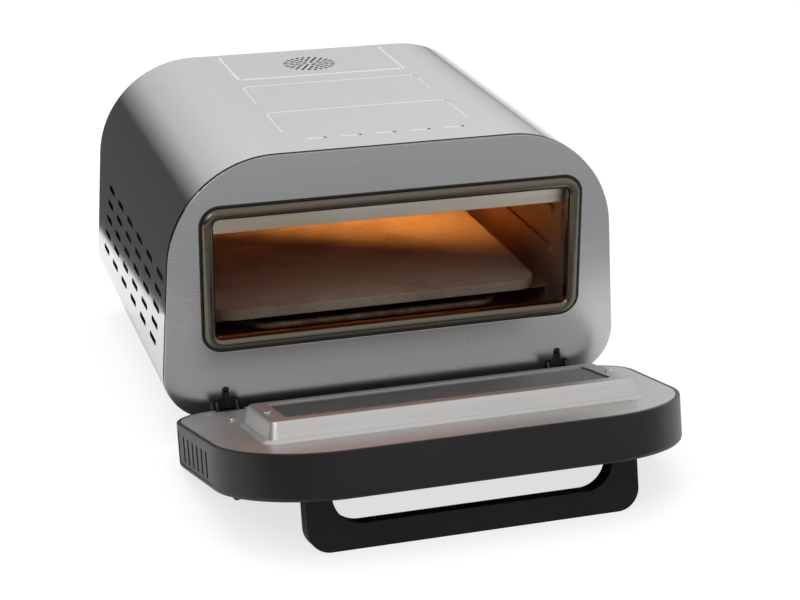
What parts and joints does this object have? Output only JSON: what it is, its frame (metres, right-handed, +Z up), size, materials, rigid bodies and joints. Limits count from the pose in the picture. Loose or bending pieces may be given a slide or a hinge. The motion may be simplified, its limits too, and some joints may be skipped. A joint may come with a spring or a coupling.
{
  "type": "electric pizza oven",
  "caption": "Countertop electric pizza oven with an arched stainless casing, stone-floored cavity and a drop-down black front door with a U-shaped handle.",
  "frame": {"origin": "on the worktop, under the middle of the bounding box with the door open", "axes": "+Z up, the door opens towards -Y, +X to the right of someone facing the door"},
  "size_m": [0.4436, 0.6324, 0.274],
  "materials": {
    "brushed_shell": "brushed stainless steel, satin",
    "brushed_fascia": "horizontally brushed stainless steel",
    "ring_steel": "rolled steel, heat tinted, semi gloss",
    "panel_steel": "brushed stainless steel, satin",
    "liner_steel": "aluminised steel liner, heat tinted",
    "baffle_steel": "satin steel",
    "element_steel": "oxidised heating tube",
    "stone": "cordierite, matt and grainy",
    "wool": "dark mineral wool",
    "plated_steel": "galvanised sheet, matt",
    "bright_steel": "bright plated",
    "probe_brass": "plain",
    "black_steel": "black coated steel",
    "black_silicone": "matt",
    "door_plastic": "fine satin grain",
    "handle_plastic": "satin",
    "knob_plastic": "semi gloss",
    "control_plastic": "moulded",
    "dark_glass": "tinted, gloss"
  },
  "bodies": {
    "root": {"outer_shell": "brushed_shell", "front_fascia": "brushed_fascia", "seam_trim": "black_silicone", "mouth_gasket": "black_silicone", "mouth_ring": "ring_steel", "cavity_liner": "liner_steel", "liner_rivets": "baffle_steel", "ceiling_baffle": "baffle_steel", "upper_element": "element_steel", "lower_element": "element_steel", "element_brackets": "liner_steel", "pizza_stone": "stone", "stone_carrier": "liner_steel", "insulation": "wool", "temperature_probe": "probe_brass", "terminal_block": "control_plastic", "base_plate": "plated_steel", "rear_panel": "plated_steel", "rear_screws": "bright_steel", "cable_gland": "black_silicone", "feet": "black_silicone", "foot_screws": "bright_steel", "hinge_receiver_left": "black_steel", "hinge_receiver_right": "black_steel", "hinge_pin_left": "bright_steel", "hinge_pin_right": "bright_steel", "hinge_spring_left": "bright_steel", "hinge_spring_right": "bright_steel"},
    "door": {"door_shell": "door_plastic", "door_inner_panel": "panel_steel", "inner_glass": "dark_glass", "glass_retainer": "plated_steel", "outer_window": "dark_glass", "handle": "handle_plastic", "handle_screws": "bright_steel", "hinge_leaf_left": "black_steel", "hinge_leaf_right": "black_steel", "panel_screws": "bright_steel", "vent_cover_left": "door_plastic", "vent_cover_right": "door_plastic", "thermostat": "control_plastic", "timer": "control_plastic"},
    "temperature_knob": {"temperature_knob": "knob_plastic"},
    "timer_knob": {"timer_knob": "knob_plastic"}
  },
  "joints": [
    {"name": "door_hinge", "type": "hinge", "parent": "root", "child": "door", "pos_m": [0, -0.07183, 0.028], "axis": [-1, 0, 0], "range_deg": [0, 76]},
    {"name": "temperature_knob_turn", "type": "hinge", "parent": "door", "child": "temperature_knob", "pos_m": [-0.186, -0.19001, 0.02521], "axis": [0, 0.2419, 0.9703], "range_deg": [0, 270]},
    {"name": "timer_knob_turn", "type": "hinge", "parent": "door", "child": "timer_knob", "pos_m": [0.186, -0.19001, 0.02521], "axis": [0, 0.2419, 0.9703], "range_deg": [0, 300]}
  ]
}
